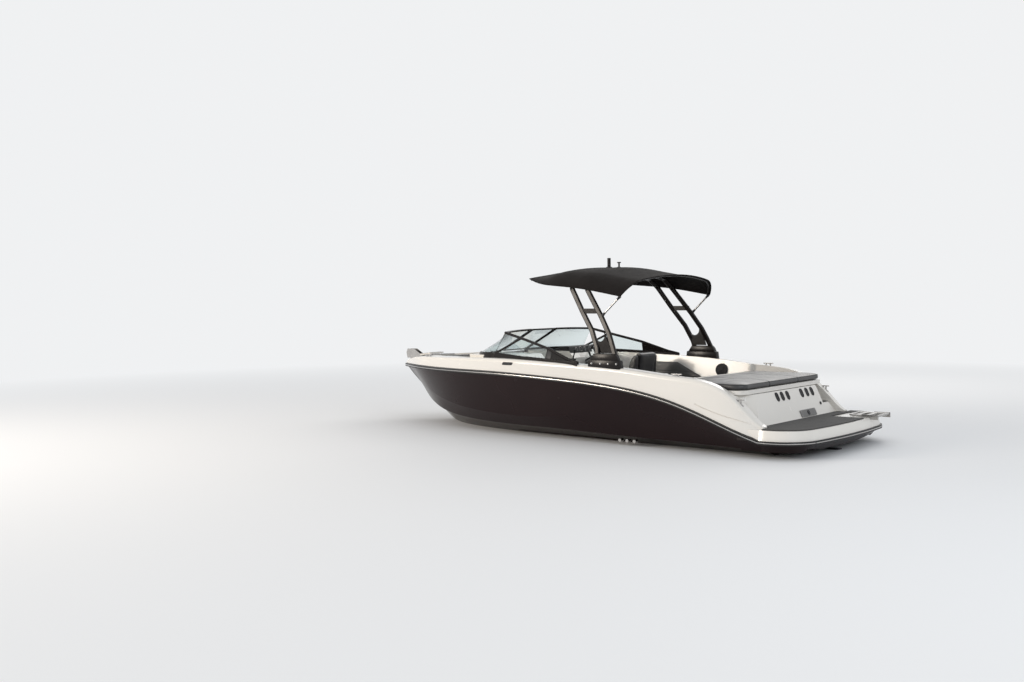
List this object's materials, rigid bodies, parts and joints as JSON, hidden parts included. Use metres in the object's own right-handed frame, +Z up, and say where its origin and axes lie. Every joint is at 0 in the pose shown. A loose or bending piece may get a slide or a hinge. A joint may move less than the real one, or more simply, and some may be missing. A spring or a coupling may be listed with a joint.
{
  "type": "sterndrive bowrider speedboat",
  "caption": "Open sterndrive speedboat with a bow cockpit, wrap windshield, arched tower with fabric canopy, sunpad over the engine and a swim platform.",
  "frame": {"origin": "on the waterline, on the centreline, halfway along the boat's length", "axes": "+X to the bow, +Y to port, +Z up"},
  "size_m": [6.856, 2.592, 2.986],
  "materials": {
    "gelcoat_black": "gloss gelcoat",
    "gelcoat_white": "gloss gelcoat",
    "rail_vinyl": "satin vinyl",
    "deck_mat": "woven marine mat",
    "foam_pad": "brushed foam sheet",
    "stainless": "polished stainless",
    "dark_aluminium": "satin powder coat",
    "glass": "tinted",
    "canopy_fabric": "woven acrylic",
    "dark_vinyl": "satin marine vinyl",
    "grey_vinyl": "satin marine vinyl",
    "cast_engine": "painted",
    "black_plastic": "moulded",
    "grey_plastic": "moulded",
    "drive_paint": "gloss paint",
    "drive_metal": "polished"
  },
  "bodies": {
    "boat": {"hull": "gelcoat_black", "deck": "gelcoat_white", "cockpit_liner": "gelcoat_white", "rub_rail": "rail_vinyl", "cockpit_mat": "deck_mat", "platform_pad": "foam_pad", "ladder_brackets": "stainless", "port_console": "gelcoat_white", "helm_console": "gelcoat_white", "windshield_frame": "dark_aluminium", "windshield_panes": "glass", "windshield_cowl": "dark_aluminium", "tower_frame": "dark_aluminium", "tower_feet": "dark_aluminium", "tower_fittings": "dark_aluminium", "canopy": "canopy_fabric", "canopy_struts": "stainless", "seat_pedestals": "stainless", "bench_base": "gelcoat_white", "bench_cushions": "dark_vinyl", "side_panels": "grey_vinyl", "bow_cushion": "dark_vinyl", "bow_backrest": "dark_vinyl", "engine": "cast_engine", "bow_roller": "stainless", "cleats": "stainless", "tie_down_eyes": "stainless", "side_lights": "black_plastic", "transom_vents": "black_plastic", "transom_panel": "grey_plastic", "speakers": "black_plastic", "through_hulls": "stainless", "helm_controls": "black_plastic", "dash": "black_plastic", "transom_shield": "drive_paint"},
    "window": {"window_frame": "dark_aluminium", "window_pane": "glass"},
    "helm_chair": {"helm_seat": "dark_vinyl"},
    "companion_chair": {"companion_seat": "dark_vinyl"},
    "hatch": {"engine_hatch": "gelcoat_white", "sunpad": "dark_vinyl"},
    "anchor_lid": {"locker_lid": "gelcoat_white"},
    "wheel": {"steering_wheel": "black_plastic"},
    "gimbal": {"gimbal_ring": "drive_paint"},
    "drive": {"drive_leg": "drive_paint"},
    "prop": {"propeller": "drive_metal"},
    "ram_barrels": {"trim_cylinders": "drive_paint"},
    "ram_rods": {"trim_rods": "stainless"},
    "boarding_ladder": {"ladder": "stainless"}
  },
  "joints": [
    {"name": "window_hinge", "type": "hinge", "parent": "boat", "child": "window", "pos_m": [1.43056, 0.254, 1.0233], "axis": [-0.8772, 0, 0.4801], "range_deg": [0, 170]},
    {"name": "helm_swivel", "type": "hinge", "parent": "boat", "child": "helm_chair", "pos_m": [-0.13, -0.52, 0.432], "axis": [0, 0, 1], "range_deg": [-180, 180]},
    {"name": "companion_swivel", "type": "hinge", "parent": "boat", "child": "companion_chair", "pos_m": [-0.13, 0.52, 0.432], "axis": [0, 0, 1], "range_deg": [-180, 180]},
    {"name": "hatch_hinge", "type": "hinge", "parent": "boat", "child": "hatch", "pos_m": [-2.585, 0, 0.646], "axis": [0, -1, 0], "range_deg": [0, 50]},
    {"name": "anchor_lid_hinge", "type": "hinge", "parent": "boat", "child": "anchor_lid", "pos_m": [2.825, 0, 0.9253], "axis": [0, -1, 0], "range_deg": [0, 95]},
    {"name": "steering", "type": "hinge", "parent": "boat", "child": "gimbal", "pos_m": [-2.96, 0, -0.1], "axis": [0, 0, 1], "range_deg": [-28, 28]},
    {"name": "wheel_turn", "type": "hinge", "parent": "boat", "child": "wheel", "pos_m": [0.43, -0.56, 0.93], "axis": [-0.8829, 0, 0.4695], "range_deg": [-505, 505]},
    {"name": "drive_tilt", "type": "hinge", "parent": "gimbal", "child": "drive", "pos_m": [-3.02, 0, -0.06], "axis": [0, 1, 0], "range_deg": [0, 45]},
    {"name": "propeller_spin", "type": "hinge", "parent": "drive", "child": "prop", "pos_m": [-3.345, 0, -0.55], "axis": [1, 0, 0], "continuous": true},
    {"name": "ram_swing", "type": "hinge", "parent": "gimbal", "child": "ram_barrels", "pos_m": [-2.975, 0, -0.195], "axis": [0, 1, 0], "range_deg": [0, 26.32]},
    {"name": "ram_extend", "type": "slide", "parent": "ram_barrels", "child": "ram_rods", "axis": [-0.9181, 0, 0.3964], "range_m": [0, 0.06407]},
    {"name": "ladder_hinge", "type": "hinge", "parent": "boat", "child": "boarding_ladder", "pos_m": [-3.42, -0.75, 0.326], "axis": [0, -1, 0], "range_deg": [0, 250]}
  ],
  "couplings": [
    {"joint": "wheel_turn", "follows": "steering", "ratio": -18},
    {"joint": "ram_swing", "follows": "drive_tilt", "ratio": 0.58036},
    {"joint": "ram_extend", "follows": "drive_tilt", "m_per_rad": 0.080936}
  ]
}
